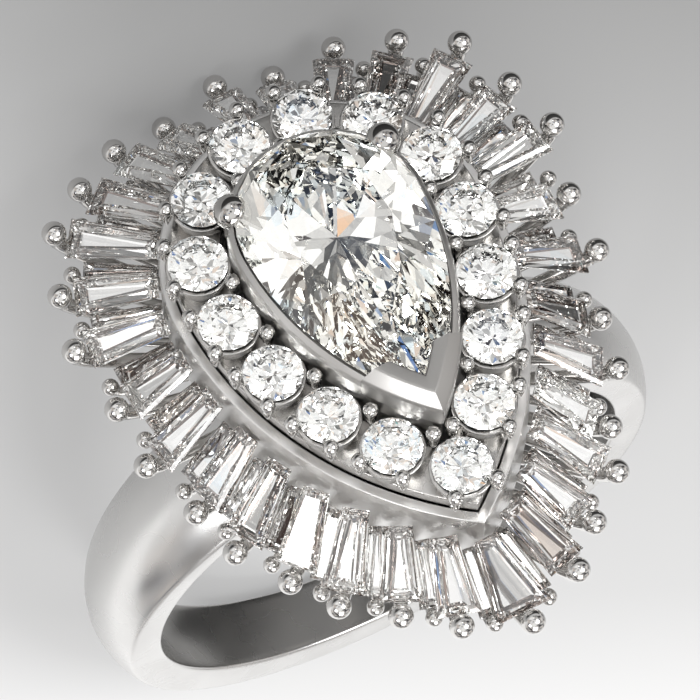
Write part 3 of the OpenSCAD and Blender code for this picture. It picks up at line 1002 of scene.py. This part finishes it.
# Panels of the tent: azimuth, elevation, inner and outer angle, colour. In order: the top,
# the front, the dark opening for the lens, a bright spot for the table of the stone at the
# point, and small patches for fire
TENT_PANELS = (
    (20, 62, 26, 36, (1.25, 1.25, 1.24)), (10, 10, 12, 22, (1.3, 1.3, 1.3)),
    (15, 47, 5, 7, (0.02, 0.02, 0.02)), (-11.1, 18.2, 2.4, 3.2, (8, 8, 8)),
    (38, 48, 2.5, 4.5, (0.08, 0.2, 0.5)), (46, 51, 1.5, 3.5, (1.1, 0.6, 0.25)),
    (-8, 34, 2.5, 4, (0.1, 0.24, 0.52)), (-30, 52, 2, 3.5, (0.16, 0.46, 0.45)),
    (70, 30, 2.5, 4, (0.1, 0.24, 0.52)), (-60, 30, 2.5, 4, (0.1, 0.24, 0.52)))
# Soft lights: azimuth, elevation, side in metres, power. All stand at one distance from
# the middle of the ring
LIGHTS = {"key_light": (-50, 55, 0.16, 0.7), "back_light": (160, 60, 0.2, 0.7),
          "side_light": (80, 40, 0.1, 0.3)}
LIGHT_DISTANCE = 0.35
RING_MIDDLE = Vector((0, 0, 0.012))
# How many times light may pass or mirror in the stones
BOUNCES = 24
MIRROR_BOUNCES = 20


def make_camera():
    right, down, forward = (CAMERA_AXES[k] for k in range(3))
    where = -forward * CAMERA_DISTANCE
    focal = PIXELS_PER_MM * CAMERA_DISTANCE
    aim = [(IMAGE_SIZE / 2 - pixel) / focal for pixel in HEAD_PIXEL]
    look = (right * aim[0] + down * aim[1] + forward).normalized()
    side = (right - look * right.dot(look)).normalized()
    above = side.cross(look)
    axes = Matrix((side, above, -look)).transposed()
    turn = LAY.to_3x3().normalized() @ axes
    data = bpy.data.cameras.new("camera")
    data.sensor_width = SENSOR
    data.lens = focal / IMAGE_SIZE * SENSOR
    data.clip_start, data.clip_end = CLIP
    camera = put("camera", data)
    camera.matrix_world = Matrix.Translation(LAY @ where) @ turn.to_4x4()
    bpy.context.scene.camera = camera


def make_floor():
    """Pale floor, white on the far side and darker towards the near one as painted shade,
    with a glow of its own that is painted light.
    """
    bm = bmesh.new()
    bmesh.ops.create_grid(bm, x_segments=1, y_segments=1, size=FLOOR_SIZE)
    finish = Finish("floor_paper", Roughness=0.9, Specular_IOR_Level=0.0)
    gradient = finish.nodes.new("ShaderNodeTexGradient")
    mapping = finish.nodes.new("ShaderNodeMapping")
    mapping.vector_type = "TEXTURE"
    start, end = FLOOR_RUN
    mapping.inputs["Location"].default_value = (*(FLOOR_WAY * start * MM), 0)
    mapping.inputs["Rotation"].default_value = (0, 0, FLOOR_TURN)
    mapping.inputs["Scale"].default_value = ((end - start) * MM, 1, 1)
    finish.links.new(finish.place, mapping.inputs["Vector"])
    finish.links.new(mapping.outputs["Vector"], gradient.inputs["Vector"])
    stops = [((t - start) / (end - start), shade) for t, shade in FLOOR_SHADES]
    shade = finish.ramp(gradient.outputs["Fac"], *stops)
    finish.drive("Base Color", finish.scaled(shade, FLOOR_LIT))
    finish.drive("Emission Color", shade)
    finish.shader.inputs["Emission Strength"].default_value = FLOOR_GLOW
    put("floor", plain_mesh("floor", bm, finish.material))


def make_card(name, middle, length, width, turn):
    """A black card on the floor that only reflections see: painted dark reflections, for the
    dark edges that polished metal shows.
    """
    bm = bmesh.new()
    bmesh.ops.create_grid(bm, x_segments=1, y_segments=1, size=MM / 2)
    where = (Matrix.Translation((*(middle * MM), CARD_HEIGHT * MM))
             @ Matrix.Rotation(turn, 4, "Z") @ Matrix.Diagonal((length, width, 1, 1)))
    bmesh.ops.transform(bm, matrix=where, verts=bm.verts)
    finish = Finish(name, Base_Color=(0.01, 0.01, 0.01, 1), Roughness=0.9)
    card = put(name, plain_mesh(name, bm, finish.material))
    card.visible_camera = False
    card.visible_diffuse = False
    card.visible_shadow = False


def way_to(azimuth, elevation):
    """Unit vector from the ring to a place round it. Azimuth 0 is in front, 90 at +X."""
    flat = polar(math.cos(math.radians(elevation)), azimuth - 90)
    return Vector((*flat, math.sin(math.radians(elevation))))


def make_world():
    """A light tent with lumps of light and dark and soft panels for the stones to show."""
    world = bpy.data.worlds.new("tent")
    bpy.context.scene.world = world
    world.use_nodes = True
    tree = world.node_tree
    direction = tree.nodes.new("ShaderNodeTexCoord").outputs["Generated"]

    def near(azimuth, elevation, inner, outer):
        """1 within an angle of a direction, falling to 0 at another angle."""
        along = tree.nodes.new("ShaderNodeVectorMath")
        along.operation = "DOT_PRODUCT"
        along.inputs[1].default_value = way_to(azimuth, elevation)
        tree.links.new(direction, along.inputs[0])
        fall = tree.nodes.new("ShaderNodeMapRange")
        fall.interpolation_type = "SMOOTHSTEP"
        fall.inputs["From Min"].default_value = math.cos(math.radians(outer))
        fall.inputs["From Max"].default_value = math.cos(math.radians(inner))
        tree.links.new(along.outputs["Value"], fall.inputs["Value"])
        return fall.outputs["Result"]

    noise = tree.nodes.new("ShaderNodeTexNoise")
    noise.inputs["Scale"].default_value = TENT_LUMPS
    noise.inputs["Detail"].default_value = 1.0
    tree.links.new(direction, noise.inputs["Vector"])
    ramp = tree.nodes.new("ShaderNodeValToRGB")
    while len(ramp.color_ramp.elements) < len(TENT_SHADES):
        ramp.color_ramp.elements.new(0.5)
    for element, (position, colour) in zip(ramp.color_ramp.elements, TENT_SHADES):
        element.position = position
        element.color = (*colour, 1)
    tree.links.new(noise.outputs["Fac"], ramp.inputs["Fac"])
    shade = ramp.outputs["Color"]
    for *place, colour in TENT_PANELS:
        # Sockets 6 and 7 and output 2 are the colours of a mix
        mix = tree.nodes.new("ShaderNodeMix")
        mix.data_type = "RGBA"
        tree.links.new(near(*place), mix.inputs["Factor"])
        tree.links.new(shade, mix.inputs[6])
        mix.inputs[7].default_value = (*colour, 1)
        shade = mix.outputs[2]
    tree.links.new(shade, tree.nodes["Background"].inputs["Color"])


def soft_light(name, azimuth, elevation, size, power):
    """A soft square light that faces the ring from a direction in degrees."""
    way = way_to(azimuth, elevation)
    data = bpy.data.lights.new(name, "AREA")
    data.shape = "SQUARE"
    data.size = size
    data.energy = power
    light = put(name, data)
    light.location = RING_MIDDLE + way * LIGHT_DISTANCE
    light.rotation_euler = (-way).to_track_quat("-Z", "Y").to_euler()


make_camera()
make_floor()
for name, place in CARDS.items():
    make_card(name, *place)
make_world()
for name, place in LIGHTS.items():
    soft_light(name, *place)
scene = bpy.context.scene
scene.view_settings.view_transform = "Standard"
scene.cycles.max_bounces = BOUNCES
scene.cycles.transmission_bounces = BOUNCES
scene.cycles.glossy_bounces = MIRROR_BOUNCES
scene.cycles.caustics_reflective = False
scene.cycles.caustics_refractive = True
